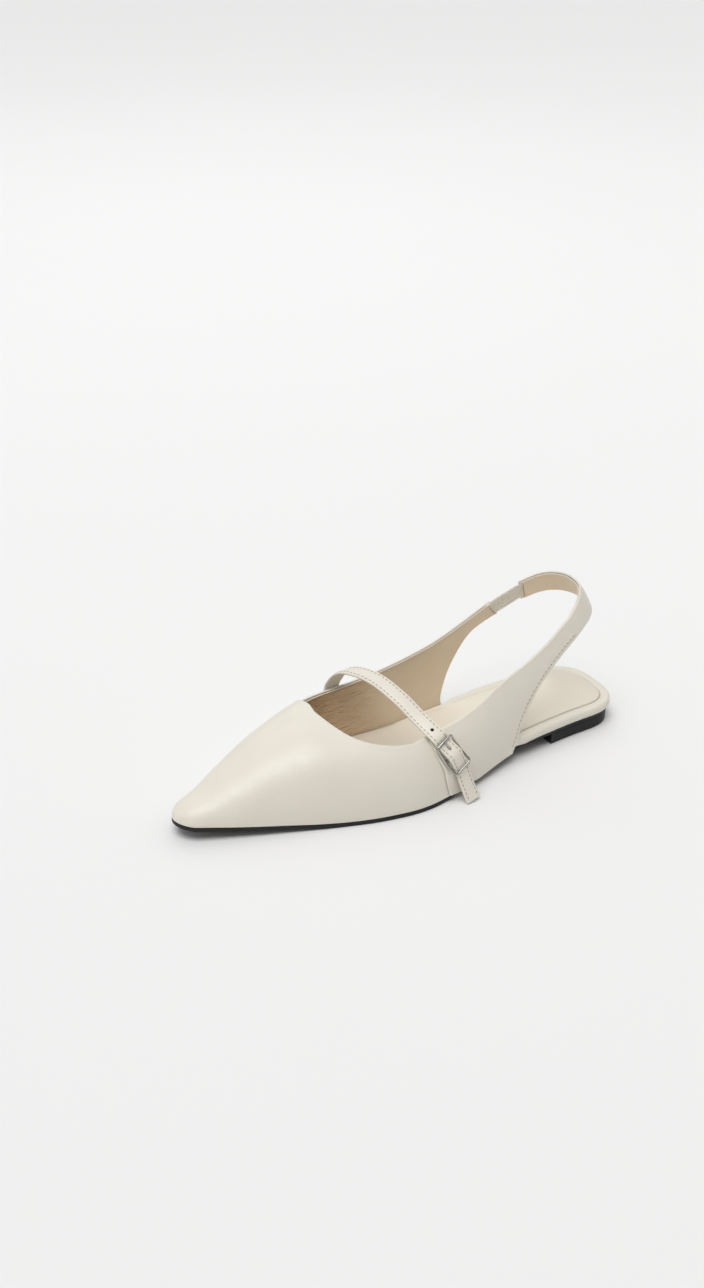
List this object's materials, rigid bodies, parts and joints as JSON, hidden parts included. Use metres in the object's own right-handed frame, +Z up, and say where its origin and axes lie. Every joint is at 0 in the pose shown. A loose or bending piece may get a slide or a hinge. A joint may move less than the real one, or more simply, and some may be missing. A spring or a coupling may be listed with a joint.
{
  "type": "pointed-toe flat",
  "caption": "Pointed-toe flat with an open back: a heel strap with an elastic, a buckled strap over the instep, a padded insole and a low heel. Left shoe.",
  "frame": {"origin": "centre of the heel's flat underside", "axes": "+Z up, -Y to the toe, +X to the outer side of the left foot"},
  "size_m": [0.0862, 0.268, 0.0861],
  "materials": {
    "upper_leather": "smooth, soft satin",
    "footbed_leather": "smooth, soft satin",
    "sock_leather": "matt lining leather",
    "sole_rubber": "satin black",
    "heel_rubber": "satin black",
    "elastic_cloth": "ribbed woven elastic",
    "strap_leather": "smooth, stitched near both edges",
    "tab_leather": "smooth, soft satin",
    "buckle_metal": "polished silver tone",
    "prong_metal": "polished silver tone"
  },
  "bodies": {
    "root": {"upper": "upper_leather", "footbed": "footbed_leather", "insole_sock": "sock_leather", "outsole": "sole_rubber", "heel_block": "heel_rubber", "elastic_gore": "elastic_cloth", "instep_strap": "strap_leather", "buckle_tab": "tab_leather", "buckle_frame": "buckle_metal", "buckle_prong": "prong_metal"}
  },
  "joints": []
}
